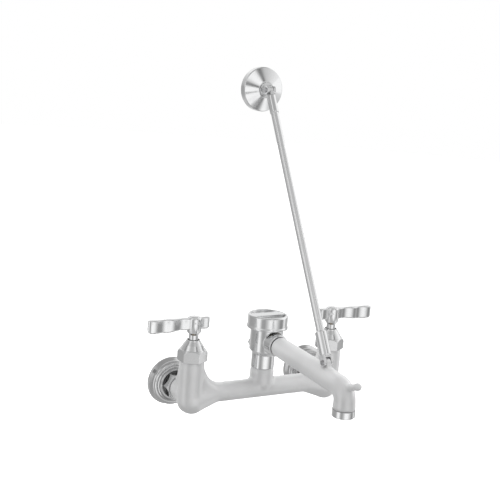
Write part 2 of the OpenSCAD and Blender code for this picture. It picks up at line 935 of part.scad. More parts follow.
module spout_outside() {
  along_spout() {
    translate([0, 0, spout_start])
      rotate_extrude()
        polygon([
          [0, 0], [spout_r - 0.8, 0], [spout_r, 0.8], [spout_r, bend_start - spout_start + JOIN],
          [0, bend_start - spout_start + JOIN]
        ]);
    translate([0, 0, collar_len - spigot_len]) cylinder(r = spigot_r, h = spigot_len + 2);
  }
  spout_bend(spout_r + FIT, bend_y);
  at_outlet(outlet_top)
    rotate_extrude()
      polygon([
        [0, 0], [spout_r - 0.2, 0], [spout_r + 0.3, 0.8], [spout_r + nose_swell, 0.45 * nose_len],
        [spout_r + 0.35, 0.8 * nose_len], [spout_r - SLIP, nose_len + JOIN], [0, nose_len + JOIN]
      ]);
  at_outlet(outlet_top - outlet_neck_len) cylinder(r = outlet_neck_r, h = outlet_neck_len + EPS);
}

module pail_hook() {
  translate([0, breaker_y - bend_y - hook_from * cos(hook_turn), nose_z + hook_from * sin(hook_turn)])
    rotate([90 - hook_rise, 0, 0])
      rotate_extrude() {
        polygon([
          [0, 0], [hook_root_r, 0], [hook_r, hook_root_len], [hook_r, hook_notch - 1.6],
          [hook_notch_r, hook_notch], [hook_notch_r, hook_notch + 0.8],
          [hook_knob_r, hook_notch + 3.4], [hook_knob_r, hook_len - hook_knob_r],
          [0, hook_len - hook_knob_r]
        ]);
        translate([0, hook_len - hook_knob_r])
          intersection() {
            circle(r = hook_knob_r);
            translate([0, -hook_knob_r]) square([hook_knob_r, 2 * hook_knob_r]);
          }
      }
}

module brace_lug() {
  at_fork_pin()
    side_plane()
      linear_extrude(height = lug_t, center = true)
        union() {
          circle(r = lug_r);
          polygon([
            [-lug_r, 0], [lug_r, 0], [lug_r + lug_spread, -lug_root], [-lug_r - lug_spread, -lug_root]
          ]);
        }
}

module spout() {
  color(cast_chrome)
    difference() {
      union() {
        spout_outside();
        pail_hook();
        brace_lug();
      }
      along_spout() {
        translate([0, 0, collar_len - spigot_len - EPS])
          cylinder(r = spout_bore_r, h = bend_start - collar_len + spigot_len + EPS + JOIN);
        for (place = o_ring_places)
          translate([0, 0, collar_len - spigot_len + place])
            rotate_extrude()
              translate([o_ring_path, -o_ring_r - SLIP]) square([2 * o_ring_r, 2 * o_ring_r + 2 * SLIP]);
      }
      spout_bend(spout_bore_r + FIT, bend_y);
      at_outlet(outlet_end) cylinder(r = spout_bore_r, h = nose_z - outlet_end + JOIN);
      at_fork_pin()
        rotate([0, 90, 0]) cylinder(r = pin_r + pin_play, h = 3 * lug_t, center = true);
    }
}

module spout_washer() {
  color(rubber)
    along_spout()
      translate([0, 0, collar_len]) ring(washer_ring_r, spigot_r + FIT, washer_ring_t);
}

module spout_rings() {
  color(rubber)
    along_spout()
      for (place = o_ring_places)
        translate([0, 0, collar_len - spigot_len + place])
          rotate_extrude()
            intersection() {
              translate([o_ring_path + o_ring_r, 0]) circle(r = o_ring_r);
              translate([0, -o_ring_r]) square([spigot_r + FIT - 0.02, 2 * o_ring_r]);
            }
}

module lock_screw() {
  socket_af = 2;
  color(steel)
    along_spout()
      translate([0, 0, lock_place])
        rotate([90, 0, 0])
          translate([0, 0, spigot_r + FIT])
            difference() {
              cylinder(r = lock_r, h = lock_len);
              translate([0, 0, lock_len - 1.6]) hex_bar(socket_af, lock_len);
            }
}

module hose_collar() {
  edge = 0.7;
  color(chrome)
    at_outlet(outlet_end)
      difference() {
        rotate_extrude()
          polygon([
            [0, 0], [hose_r - edge, 0], [hose_r, edge], [hose_r, hose_h - SLIP],
            [0, hose_h - SLIP]
          ]);
        translate([0, 0, -EPS]) cylinder(r = spout_bore_r, h = hose_h + 2 * EPS);
        translate([0, 0, hose_h - outlet_neck_len - SLIP])
          cylinder(r = outlet_neck_r + FIT, h = hose_h);
      }
}

module brace_fork() {
  color(chrome)
    along_brace()
      difference() {
        union() {
          for (way = [-1, 1])
            translate([way * (fork_slot + prong_t) / 2, 0, 0])
              side_plane()
                linear_extrude(height = prong_t, center = true)
                  union() {
                    circle(r = prong_r);
                    translate([-prong_r, 0]) square([2 * prong_r, fork_sleeve_z + 1]);
                  }
          translate([-fork_slot / 2 - EPS, -prong_r, fork_root])
            cube([fork_slot + 2 * EPS, 2 * prong_r, fork_sleeve_z + 1 - fork_root]);
          translate([0, 0, fork_sleeve_z])
            rotate_extrude()
              polygon([
                [0, 0], [fork_r - sleeve_round, 0], [fork_r, sleeve_round],
                [fork_r, fork_sleeve_len - sleeve_round], [fork_r - sleeve_round, fork_sleeve_len],
                [0, fork_sleeve_len]
              ]);
        }
        rotate([0, 90, 0]) cylinder(r = pin_r + SLIP, h = 4 * fork_r, center = true);
        translate([0, 0, fork_sleeve_end - rod_thread_len - 1])
          cylinder(r = rod_thread_r + FIT, h = rod_thread_len + 2);
      }
}

module pin(half_span) {
  rotate([0, 90, 0]) {
    cylinder(r = pin_r, h = 2 * half_span, center = true);
    for (way = [0, 1])
      mirror([0, 0, way])
        translate([0, 0, half_span])
          cylinder(r1 = pin_head_r, r2 = pin_head_r - 0.7, h = pin_head_h);
  }
}

module fork_pin() {
  color(steel) along_brace() pin(fork_slot / 2 + prong_t);
}

module brace_rod() {
  color(cast_chrome)
    along_brace() {
      translate([0, 0, fork_sleeve_end]) cylinder(r = rod_r, h = eye_start - fork_sleeve_end);
      translate([0, 0, fork_sleeve_end - rod_thread_len])
        cylinder(r = rod_thread_r, h = eye_start - fork_sleeve_end + 2 * rod_thread_len);
    }
}

module brace_eye() {
  edge = 0.8;
  color(chrome)
    along_brace()
      difference() {
        union() {
          translate([0, 0, brace_len])
            side_plane()
              linear_extrude(height = tongue_t, center = true)
                union() {
                  circle(r = tongue_r);
                  translate([-tongue_r + 0.4, -eye_gap - 2]) square([2 * tongue_r - 0.8, eye_gap + 2]);
                }
          translate([0, 0, eye_start])
            rotate_extrude()
              polygon([
                [0, 0], [eye_r - edge, 0], [eye_r, edge], [eye_r, eye_len - edge],
                [eye_r - edge, eye_len], [0, eye_len]
              ]);
        }
        translate([0, 0, eye_start - EPS])
          cylinder(r = rod_thread_r + FIT, h = rod_thread_len + 1 + EPS);
        translate([0, 0, brace_len])
          rotate([0, 90, 0]) cylinder(r = pin_r + pin_play, h = 4 * tongue_t, center = true);
      }
}

module brace_bracket() {
  color(chrome)
    difference() {
      union() {
        translate([brace_side, 0, brace_rise])
          rotate([90, 0, 0]) cylinder(r = bracket_r, h = bracket_front);
        at_bracket_pin()
          for (way = [-1, 1])
            translate([way * (ear_gap + ear_t) / 2, 0, 0])
              side_plane()
                linear_extrude(height = ear_t, center = true)
                  union() {
                    circle(r = ear_r);
                    translate([bracket_front - brace_standoff - 2, -ear_r])
                      square([brace_standoff - bracket_front + 2, 2 * ear_r]);
                  }
      }
      translate([brace_side, EPS, brace_rise])
        rotate([90, 0, 0]) cylinder(r = stud_hole_r, h = stud_depth + EPS);
      at_bracket_pin()
        rotate([0, 90, 0]) cylinder(r = pin_r + SLIP, h = 4 * ear_gap, center = true);
    }
}

module bracket_pin() {
  color(steel) at_bracket_pin() pin(ear_gap / 2 + ear_t);
}

module brace_flange() {
  edge = 0.8;
  inner_r = bracket_r + 0.2;
  color(chrome)
    translate([brace_side, 0, brace_rise])
      rotate([90, 0, 0])
        rotate_extrude()
          polygon([
            [brace_flange_r - shell_t, 0], [brace_flange_r, 0], [brace_flange_r, brace_rim - edge],
            [brace_flange_r - edge, brace_rim], [brace_cone_r, brace_cone_front],
            [inner_r, brace_cone_front], [inner_r, brace_cone_front - shell_t],
            [brace_flange_r - shell_t - edge, brace_rim - shell_t],
            [brace_flange_r - shell_t, brace_rim - shell_t - edge]
          ]);
}

yoke_body();
inlet_shank(-1);  // inlet_shank_hot
inlet_shank(1);  // inlet_shank_cold
coupling_nut(-1);  // coupling_nut_hot
coupling_nut(1);  // coupling_nut_cold
union_washer(-1);  // union_washer_hot
union_washer(1);  // union_washer_cold
wall_flange(-1);  // wall_flange_hot
wall_flange(1);  // wall_flange_cold
seat_seal(-1);  // seat_seal_hot
seat_seal(1);  // seat_seal_cold
fixed_disc(-1);  // fixed_disc_hot
fixed_disc(1);  // fixed_disc_cold
cartridge_sleeve(-1);  // cartridge_sleeve_hot
cartridge_sleeve(1);  // cartridge_sleeve_cold
bonnet(-1);  // bonnet_hot
bonnet(1);  // bonnet_cold
moving_disc(-1);  // moving_disc_hot
moving_disc(1);  // moving_disc_cold
spindle(-1);  // spindle_hot
spindle(1);  // spindle_cold
stem_ring(-1);  // stem_ring_hot
stem_ring(1);  // stem_ring_cold
lever(-1);  // lever_hot
lever(1);  // lever_cold
handle_screw(-1);  // handle_screw_hot
handle_screw(1);  // handle_screw_cold
index_button(-1);  // index_button_hot
index_button(1);  // index_button_cold
breaker_body();
breaker_bonnet();
breaker_cap();
float_valve();  // float
float_seal();
rear_plug();
spout();
spout_washer();
spout_rings();
lock_screw();
hose_collar();
brace_fork();
fork_pin();
brace_rod();
brace_eye();
brace_bracket();
bracket_pin();
brace_flange();
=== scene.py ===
import bpy
import json
import math
from mathutils import Matrix, Vector


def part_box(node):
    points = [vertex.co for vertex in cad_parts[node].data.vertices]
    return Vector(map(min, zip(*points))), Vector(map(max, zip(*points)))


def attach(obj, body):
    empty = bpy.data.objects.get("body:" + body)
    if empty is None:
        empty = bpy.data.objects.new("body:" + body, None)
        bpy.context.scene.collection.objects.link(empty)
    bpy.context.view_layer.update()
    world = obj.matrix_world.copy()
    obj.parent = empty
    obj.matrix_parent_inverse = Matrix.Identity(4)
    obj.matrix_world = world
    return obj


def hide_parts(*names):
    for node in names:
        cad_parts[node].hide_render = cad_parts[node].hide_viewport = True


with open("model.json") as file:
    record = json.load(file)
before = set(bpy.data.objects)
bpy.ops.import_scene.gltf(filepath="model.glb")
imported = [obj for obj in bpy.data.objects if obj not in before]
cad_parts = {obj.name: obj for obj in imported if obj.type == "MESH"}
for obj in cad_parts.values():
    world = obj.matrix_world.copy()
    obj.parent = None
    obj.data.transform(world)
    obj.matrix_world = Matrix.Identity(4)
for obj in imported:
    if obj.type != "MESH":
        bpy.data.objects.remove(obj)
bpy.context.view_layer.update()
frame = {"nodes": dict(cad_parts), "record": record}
nodes = frame["nodes"]
joint_places = {joint["name"]: joint.get("pos_m") for joint in frame["record"]["behaviour"]["joints"]}


# Small helpers for the shader trees

CLOUD_STOPS = (0.3, 0.7)
NOISE_SPAN = (0.25, 0.75)
HOLLOW_SHADE_METALLIC = 0.3


def new_material(name):
    material = bpy.data.materials.new(name)
    material.use_nodes = True
    tree = material.node_tree
    tree.nodes.clear()
    out = tree.nodes.new("ShaderNodeOutputMaterial")
    shader = tree.nodes.new("ShaderNodeBsdfPrincipled")
    tree.links.new(shader.outputs["BSDF"], out.inputs["Surface"])
    return material, tree, shader


def object_noise(tree, scale, detail):
    place = tree.nodes.new("ShaderNodeTexCoord")
    noise = tree.nodes.new("ShaderNodeTexNoise")
    noise.inputs["Scale"].default_value = scale
    noise.inputs["Detail"].default_value = detail
    tree.links.new(place.outputs["Object"], noise.inputs["Vector"])
    return noise.outputs["Fac"]


def ramp(tree, factor, stops):
    node = tree.nodes.new("ShaderNodeValToRGB")
    elements = node.color_ramp.elements
    while len(elements) < len(stops):
        elements.new(0.5)
    for element, (place, colour) in zip(elements, stops):
        element.position = place
        element.color = (*colour, 1.0)
    tree.links.new(factor, node.inputs["Fac"])
    return node.outputs["Color"]


def clouded(tree, noise, dark, light):
    return ramp(tree, noise, list(zip(CLOUD_STOPS, (dark, light))))


def spread(tree, noise, low, high):
    node = tree.nodes.new("ShaderNodeMapRange")
    node.inputs["From Min"].default_value, node.inputs["From Max"].default_value = NOISE_SPAN
    node.inputs["To Min"].default_value = low
    node.inputs["To Max"].default_value = high
    tree.links.new(noise, node.inputs["Value"])
    return node.outputs["Result"]


def bumped(tree, shader, height, strength, distance, edge=0.0):
    bump = tree.nodes.new("ShaderNodeBump")
    bump.inputs["Strength"].default_value = strength
    bump.inputs["Distance"].default_value = distance
    tree.links.new(height, bump.inputs["Height"])
    if edge:
        bevel = tree.nodes.new("ShaderNodeBevel")
        bevel.samples = 6
        bevel.inputs["Radius"].default_value = edge
        tree.links.new(bevel.outputs["Normal"], bump.inputs["Normal"])
    tree.links.new(bump.outputs["Normal"], shader.inputs["Normal"])


# Painted shade: darker and less metallic where the surface lies in a hollow
def with_painted_hollow_shade(tree, shader, colour, reach, open_at, hollow_shade):
    hollow = tree.nodes.new("ShaderNodeAmbientOcclusion")
    hollow.samples = 8
    hollow.inputs["Distance"].default_value = reach
    unshaded_share = tree.nodes.new("ShaderNodeMapRange")
    unshaded_share.inputs["From Min"].default_value, unshaded_share.inputs["From Max"].default_value = open_at
    tree.links.new(hollow.outputs["AO"], unshaded_share.inputs["Value"])
    mix = tree.nodes.new("ShaderNodeMix")
    mix.data_type = "RGBA"
    tree.links.new(unshaded_share.outputs["Result"], mix.inputs["Factor"])
    mix.inputs["A"].default_value = (hollow_shade, hollow_shade, hollow_shade, 1.0)
    tree.links.new(colour, mix.inputs["B"])
    unshaded_metallic = tree.nodes.new("ShaderNodeMapRange")
    unshaded_metallic.inputs["To Min"].default_value = HOLLOW_SHADE_METALLIC
    tree.links.new(unshaded_share.outputs["Result"], unshaded_metallic.inputs["Value"])
    tree.links.new(unshaded_metallic.outputs["Result"], shader.inputs["Metallic"])
    return mix.outputs["Result"]


# Finishes: grain is the bump's strength, distance and scale, and the painted shade in hollows is its reach,
# where it ends and its grey

CLOUD_DETAIL = 4.0
SMEAR_DETAIL = 5.0
SMEAR_FINENESS = 3.1
GRAIN_DETAIL = 6.0


def metal(name, dark, light, rough, grain, cloud_scale, edge=0.0, metallic=1.0, hollow_shade=None):
    material, tree, shader = new_material(name)
    shader.inputs["Metallic"].default_value = metallic
    colour = clouded(tree, object_noise(tree, cloud_scale, CLOUD_DETAIL), dark, light)
    # Painted shade: hollows get a darker grey and less metal
    if hollow_shade:
        colour = with_painted_hollow_shade(tree, shader, colour, *hollow_shade)
    tree.links.new(colour, shader.inputs["Base Color"])
    smears = object_noise(tree, cloud_scale * SMEAR_FINENESS, SMEAR_DETAIL)
    tree.links.new(spread(tree, smears, *rough), shader.inputs["Roughness"])
    strength, distance, scale = grain
    bumped(tree, shader, object_noise(tree, scale, GRAIN_DETAIL), strength, distance, edge)
    return material


# Clouds and smears are each a noise's scale and detail
def speckled(name, dark, light, clouds, rough, smears):
    material, tree, shader = new_material(name)
    colour = clouded(tree, object_noise(tree, *clouds), dark, light)
    tree.links.new(colour, shader.inputs["Base Color"])
    tree.links.new(spread(tree, object_noise(tree, *smears), *rough), shader.inputs["Roughness"])
    return material, tree, shader


def drawn_chrome():
    return metal(
        "drawn_chrome", dark=(0.84, 0.842, 0.845), light=(0.90, 0.902, 0.905),
        rough=(0.24, 0.32), grain=(0.05, 0.0002, 300.0), cloud_scale=30.0)


# Polished chrome, with painted shade darkening its hollows
def polished_chrome():
    return metal(
        "polished_chrome", dark=(0.80, 0.805, 0.81), light=(0.86, 0.862, 0.865),
        rough=(0.10, 0.17), grain=(0.03, 0.0002, 90.0), cloud_scale=28.0,
        edge=0.0005, hollow_shade=(0.004, (0.20, 0.75), 0.42))


# Painted shade: a darker copy of the polished chrome for the wall flanges, with the painted hollow shade
# reaching further and darker
def shaded_flange_chrome():
    return metal(
        "shaded_flange_chrome", dark=(0.60, 0.602, 0.605), light=(0.72, 0.722, 0.725),
        rough=(0.08, 0.15), grain=(0.03, 0.0002, 90.0), cloud_scale=28.0,
        edge=0.0005, hollow_shade=(0.006, (0.30, 0.90), 0.25))


def cast_chrome():
    material = metal(
        "cast_chrome", dark=(0.76, 0.762, 0.765), light=(0.83, 0.832, 0.835),
        rough=(0.40, 0.48), grain=(0.10, 0.0003, 420.0), cloud_scale=34.0, metallic=0.36)
    shader = material.node_tree.nodes["Principled BSDF"]
    shader.inputs["Coat Weight"].default_value = 0.6
    shader.inputs["Coat IOR"].default_value = 2.2
    shader.inputs["Coat Roughness"].default_value = 0.28
    return material


def turned_brass():
    return metal(
        "turned_brass", dark=(0.55, 0.37, 0.14), light=(0.70, 0.50, 0.22),
        rough=(0.22, 0.36), grain=(0.12, 0.0002, 700.0), cloud_scale=60.0, edge=0.0003)


def plain_steel():
    return metal(
        "plain_steel", dark=(0.46, 0.46, 0.47), light=(0.60, 0.60, 0.61),
        rough=(0.24, 0.38), grain=(0.14, 0.0002, 800.0), cloud_scale=70.0, edge=0.0003)


def seal_rubber():
    material, tree, shader = speckled(
        "seal_rubber", dark=(0.012, 0.012, 0.013), light=(0.030, 0.030, 0.031),
        clouds=(90.0, 4.0), rough=(0.55, 0.75), smears=(240.0, 5.0))
    bumped(tree, shader, object_noise(tree, scale=1500.0, detail=4.0), strength=0.25, distance=0.0002)
    return material


def disc_ceramic():
    material, tree, shader = speckled(
        "disc_ceramic", dark=(0.74, 0.72, 0.68), light=(0.84, 0.82, 0.79),
        clouds=(80.0, 3.0), rough=(0.18, 0.30), smears=(300.0, 4.0))
    bumped(tree, shader, object_noise(tree, scale=1800.0, detail=3.0), strength=0.06, distance=0.0001)
    return material


FINISHES = {
    "cast_chrome": cast_chrome(),
    "chrome": polished_chrome(),
    "drawn": drawn_chrome(),
    "flange": shaded_flange_chrome(),
    "brass": turned_brass(),
    "rubber": seal_rubber(),
    "ceramic": disc_ceramic(),
    "steel": plain_steel(),
}


def dress(obj, finish):
    obj.data.materials.clear()
    obj.data.materials.append(FINISHES[finish])


for part in frame["record"]["subparts"]:
    dress(nodes[part["node"]], part["material_slot"])
dress(nodes["brace_rod"], "drawn")
# The wall flanges get the darker copy of the chrome, painted shade
for name in ("wall_flange_hot", "wall_flange_cold"):
    dress(nodes[name], "flange")


# Castings: the solid's own shape with its joins run together

MERGE = 0.000002


def deselect():
    if bpy.context.object and bpy.context.object.mode != "OBJECT":
        bpy.ops.object.mode_set(mode="OBJECT")
    bpy.ops.object.select_all(action="DESELECT")


def pick(obj):
    deselect()
    obj.select_set(True)
    bpy.context.view_layer.objects.active = obj


def copy_of(name, piece):
    obj = bpy.data.objects.new(piece, nodes[name].data.copy())
    bpy.context.scene.collection.objects.link(obj)
    pick(obj)
    if obj.data.has_custom_normals:
        bpy.ops.mesh.customdata_custom_splitnormals_clear()
    bpy.ops.object.mode_set(mode="EDIT")
    bpy.ops.mesh.select_all(action="SELECT")
    bpy.ops.mesh.remove_doubles(threshold=MERGE)
    bpy.ops.object.mode_set(mode="OBJECT")
    return obj


def apply_all(obj):
    pick(obj)
    for modifier in list(obj.modifiers):
        bpy.ops.object.modifier_apply(modifier=modifier.name)


def skin(obj, voxel):
    remesh = obj.modifiers.new("skin", "REMESH")
    remesh.mode = "VOXEL"
    remesh.voxel_size = voxel
    remesh.use_smooth_shade = True
    apply_all(obj)


def weigh(obj, weight_at):
    obj.vertex_groups.clear()
    group = obj.vertex_groups.new(name="joins")
    for vertex in obj.data.vertices:
        weight = weight_at(vertex.co)
        if weight > 0.0:
            group.add([vertex.index], weight, "REPLACE")


def swell(obj, amount):
    swollen = obj.modifiers.new("swell", "DISPLACE")
    swollen.strength = amount
    swollen.mid_level = 0.0
    swollen.vertex_group = "joins"
    apply_all(obj)


# Swelling the skin and drawing it back fills its corners; smoothing shrinks it, and plump makes up for that
def run_together(obj, voxel, corners, fillet, joins, passes, plump):
    for amount in (fillet, -fillet):
        skin(obj, voxel)
        weigh(obj, corners)
        swell(obj, amount)
    skin(obj, voxel)
    weigh(obj, joins)
    smooth = obj.modifiers.new("joins", "SMOOTH")
    smooth.factor = 0.5
    smooth.iterations = passes
    smooth.vertex_group = "joins"
    apply_all(obj)
    swell(obj, plump)
    obj.vertex_groups.clear()
    bpy.ops.object.shade_smooth()


def ease(value, start, end):
    share = min(1.0, max(0.0, (value - start) / (end - start)))
    return share * share * (3.0 - 2.0 * share)


# The joins fade out before the seats that other pieces stand on

POST_ZONE = 0.05
POST_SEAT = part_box("bonnet_hot")[0][2] - 0.0028
ARM_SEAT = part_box("coupling_nut_hot")[0][1] - 0.0005
RISER_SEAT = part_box("breaker_body")[0][2] - 0.0020


def yoke_weight(co, post_run, arm_run, riser_run, riser_most):
    if abs(co.x) > POST_ZONE:
        return ease(POST_SEAT - co.z, 0.0, post_run) * ease(ARM_SEAT - co.y, 0.0, arm_run)
    return riser_most * ease(RISER_SEAT - co.z, 0.0, riser_run)


def yoke_corners(co):
    return yoke_weight(co, post_run=0.020, arm_run=0.012, riser_run=0.009, riser_most=0.8)


def yoke_joins(co):
    return yoke_weight(co, post_run=0.006, arm_run=0.006, riser_run=0.004, riser_most=1.0)


yoke = copy_of("yoke_body", "yoke_casting")
run_together(
    yoke, voxel=0.0009, corners=yoke_corners, fillet=0.0045, joins=yoke_joins, passes=40, plump=0.0005)
dress(yoke, "cast_chrome")
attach(yoke, "faucet")
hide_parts("yoke_body")


COLLAR_SEAT = -0.108
NOSE_SEAT = 0.0375
PIN_EYE_Y = -0.203
PIN_EYE_Z = 0.0783


def spout_joins(co):
    past_collar = ease(COLLAR_SEAT - co.y, 0.0, 0.004)
    above_nose = ease(co.z - NOSE_SEAT, 0.0, 0.002)
    from_pin = math.hypot(co.y - PIN_EYE_Y, co.z - PIN_EYE_Z)
    return past_collar * above_nose * ease(from_pin, 0.005, 0.008)


spout = copy_of("spout", "spout_casting")
run_together(
    spout, voxel=0.0007, corners=spout_joins, fillet=0.0012, joins=spout_joins, passes=16, plump=0.00015)
dress(spout, "cast_chrome")
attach(spout, "faucet")
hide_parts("spout")


# Levers, measured from the turning axis: a waved blade and a short tail run out of a turned hub

HUB_PROFILE = [
    (0.00425, 0.0695), (0.0060, 0.0695), (0.0060, 0.0783), (0.0069, 0.0797), (0.0081, 0.0808),
    (0.0088, 0.0822), (0.0088, 0.0984), (0.00855, 0.0994), (0.0079, 0.1002), (0.0070, 0.1005),
    (0.0057, 0.1005), (0.0057, 0.0990), (0.0041, 0.0990), (0.0041, 0.0963), (0.0021, 0.0963),
    (0.0021, 0.0935), (0.00425, 0.0935),
]
HUB_STEPS = 72
SHARP_EDGE = math.radians(32.0)
ARM_START = 0.0065
ARM_TOP = 0.0997
ARM_LOW = 0.0850
ARM_CORNER = 0.0045
ARM_RING = 40
ARM_SIDE_POWER = 6.0
ARM_TOP_POWER = 8.0
END_CROWDING = 1.35
BLADE_LEN = 0.0620
BLADE_STEPS = 64
BLADE_HALF = 0.0046
BLADE_DROP = 0.0018
BLADE_DROP_RUN = (0.020, 0.038)
GRIP_DEPTH = 0.0020
GRIP_PLACE = 0.0305
GRIP_PITCH = 0.0232
TIP_TOP_ROUND = 0.0016
TIP_SIDE_ROUND = 0.0035
TIP_LEAST = 0.10
TAIL_LEN = 0.0200
TAIL_STEPS = 18
TAIL_HALF = 0.0030
TAIL_SWELL = 0.0007
TAIL_SWELL_RUN = (0.0110, 0.0175)
TAIL_SIDE_ROUND = 0.0030
TAIL_LEAST = 0.12


def blank(name, points, edges):
    mesh = bpy.data.meshes.new(name)
    mesh.from_pydata(points, edges, [])
    obj = bpy.data.objects.new(name, mesh)
    bpy.context.scene.collection.objects.link(obj)
    pick(obj)
    bpy.ops.object.mode_set(mode="EDIT")
    bpy.ops.mesh.select_all(action="SELECT")
    return obj


def facing_out(obj):
    pick(obj)
    bpy.ops.object.mode_set(mode="EDIT")
    bpy.ops.mesh.select_all(action="SELECT")
    bpy.ops.mesh.normals_make_consistent(inside=False)
    bpy.ops.object.mode_set(mode="OBJECT")


def rounded(value, power):
    return math.copysign(abs(value) ** (2.0 / power), value)


# How far a corner of this radius has cut in, at a place past the corner's start
def corner_cut(out, start, radius):
    if out <= start:
        return 0.0
    return radius - math.sqrt(max(0.0, radius ** 2 - (out - start) ** 2))


def end_taper(out, start, run, least):
    if out <= start:
        return 1.0
    return math.sqrt(max(least, 1.0 - ((out - start) / run) ** 2))


def blade_station(out):
    wave = (1.0 - math.cos(2.0 * math.pi * (out - GRIP_PLACE) / GRIP_PITCH)) / 2.0
    half = BLADE_HALF - GRIP_DEPTH * wave
    half *= end_taper(out, BLADE_LEN - TIP_SIDE_ROUND, TIP_SIDE_ROUND, TIP_LEAST)
    low = ARM_LOW - BLADE_DROP * ease(out, *BLADE_DROP_RUN)
    low += corner_cut(out, BLADE_LEN - ARM_CORNER, ARM_CORNER)
    high = ARM_TOP - corner_cut(out, BLADE_LEN - TIP_TOP_ROUND, TIP_TOP_ROUND)
    return half, low, high


def tail_station(out):
    half = TAIL_HALF + TAIL_SWELL * ease(out, *TAIL_SWELL_RUN)
    half *= end_taper(out, TAIL_LEN - TAIL_SIDE_ROUND, TAIL_SIDE_ROUND, TAIL_LEAST)
    low = ARM_LOW + corner_cut(out, TAIL_LEN - ARM_CORNER, ARM_CORNER)
    return half, low, ARM_TOP


# A rounded section drawn out along x, way -1 or 1, and resized at stations that crowd towards its end
def drawn_out(name, station, end, steps, way):
    run = end - ARM_START
    places = [ARM_START + run * (1.0 - (1.0 - i / steps) ** END_CROWDING) for i in range(steps + 1)]
    half, low, high = station(places[0])
    turns = [2.0 * math.pi * (k + 0.5) / ARM_RING for k in range(ARM_RING)]
    points = [
        (way * places[0], half * rounded(math.cos(t), ARM_SIDE_POWER),
         ((low + high) + (high - low) * rounded(math.sin(t), ARM_TOP_POWER)) / 2.0)
        for t in turns
    ]
    obj = blank(name, points, [(k, (k + 1) % ARM_RING) for k in range(ARM_RING)])
    bpy.ops.mesh.edge_face_add()
    for before, place in zip(places, places[1:]):
        new_half, new_low, new_high = station(place)
        move = (way * (place - before), 0.0, ((new_low + new_high) - (low + high)) / 2.0)
        bpy.ops.mesh.extrude_region_move(TRANSFORM_OT_translate={"value": move})
        bpy.ops.transform.resize(
            value=(1.0, new_half / half, (new_high - new_low) / (high - low)),
            center_override=(way * place, 0.0, (new_low + new_high) / 2.0))
        half, low, high = new_half, new_low, new_high
    bpy.ops.object.mode_set(mode="OBJECT")
    facing_out(obj)
    return obj


def turned(name, profile, steps):
    points = [(radius, 0.0, z) for radius, z in profile]
    obj = blank(name, points, [(k, (k + 1) % len(points)) for k in range(len(points))])
    bpy.ops.mesh.spin(steps=steps, angle=2.0 * math.pi, center=(0.0, 0.0, 0.0), axis=(0.0, 0.0, 1.0))
    bpy.ops.mesh.select_all(action="SELECT")
    bpy.ops.mesh.remove_doubles(threshold=MERGE)
    bpy.ops.object.mode_set(mode="OBJECT")
    facing_out(obj)
    return obj


def joined(main, others):
    for other in others:
        union = main.modifiers.new("union", "BOOLEAN")
        union.operation = "UNION"
        union.solver = "EXACT"
        union.object = other
    apply_all(main)
    for other in others:
        bpy.data.objects.remove(other, do_unlink=True)


def moved(obj, scale, offset):
    pick(obj)
    bpy.ops.object.mode_set(mode="EDIT")
    bpy.ops.mesh.select_all(action="SELECT")
    bpy.ops.transform.resize(value=scale, center_override=(0.0, 0.0, 0.0))
    bpy.ops.transform.translate(value=offset)
    bpy.ops.object.mode_set(mode="OBJECT")
    facing_out(obj)


lever = turned("lever_hub", HUB_PROFILE, HUB_STEPS)
joined(lever, [
    drawn_out("lever_blade", blade_station, BLADE_LEN, BLADE_STEPS, way=-1.0),
    drawn_out("lever_tail", tail_station, TAIL_LEN, TAIL_STEPS, way=1.0),
])
for side, way in (("hot", 1.0), ("cold", -1.0)):
    piece = bpy.data.objects.new("lever_forging_" + side, lever.data.copy())
    bpy.context.scene.collection.objects.link(piece)
    axis_x, axis_y, _ = joint_places[side + "_turn"]
    moved(piece, (way, 1.0, 1.0), (axis_x, axis_y, 0.0))
    pick(piece)
    bpy.ops.object.shade_smooth_by_angle(angle=SHARP_EDGE)
    dress(piece, "chrome")
    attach(piece, side + "_handle")
    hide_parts("lever_" + side)
bpy.data.objects.remove(lever, do_unlink=True)


# Floor, light and camera

FLOOR_RADIUS = 9.0
FLOOR_SIDES = 96
FLOOR_Z = -0.42
LIGHT_AIM = Vector((0.0, -0.1, 0.1))
AZIMUTH = math.radians(-30.0)
ELEVATION = math.radians(11.0)
ROLL = math.radians(4.4)
DISTANCE = 1.2151
SENSOR = 36.0
FOCAL_PIXELS = 977.7
PICTURE_PIXELS = 500.0
TARGET = Vector((-0.0313, -0.060, 0.182))


def floor_paint():
    material, _, shader = speckled(
        "floor_paint", dark=(0.86, 0.86, 0.86), light=(0.88, 0.88, 0.88),
        clouds=(2.0, 3.0), rough=(0.85, 0.95), smears=(6.0, 3.0))
    shader.inputs["Specular IOR Level"].default_value = 0.1
    shader.inputs["Emission Color"].default_value = (1.0, 1.0, 1.0, 1.0)
    shader.inputs["Emission Strength"].default_value = 0.85
    return material


def studio():
    deselect()
    bpy.ops.mesh.primitive_circle_add(
        vertices=FLOOR_SIDES, radius=FLOOR_RADIUS, fill_type="NGON", location=(0.0, 0.0, FLOOR_Z))
    floor = bpy.context.object
    floor.name = "studio_floor"
    bpy.ops.object.transform_apply(location=True, rotation=True, scale=True)
    floor.data.materials.append(floor_paint())
    floor.visible_glossy = False
    floor.visible_diffuse = False


def soft_light(name, power, size, place):
    light = bpy.data.lights.new(name, "AREA")
    light.shape = "RECTANGLE"
    light.size, light.size_y = size
    light.energy = power
    obj = bpy.data.objects.new(name, light)
    bpy.context.scene.collection.objects.link(obj)
    obj.location = place
    obj.rotation_euler = (LIGHT_AIM - Vector(place)).to_track_quat("-Z", "Y").to_euler()
    obj.visible_glossy = False


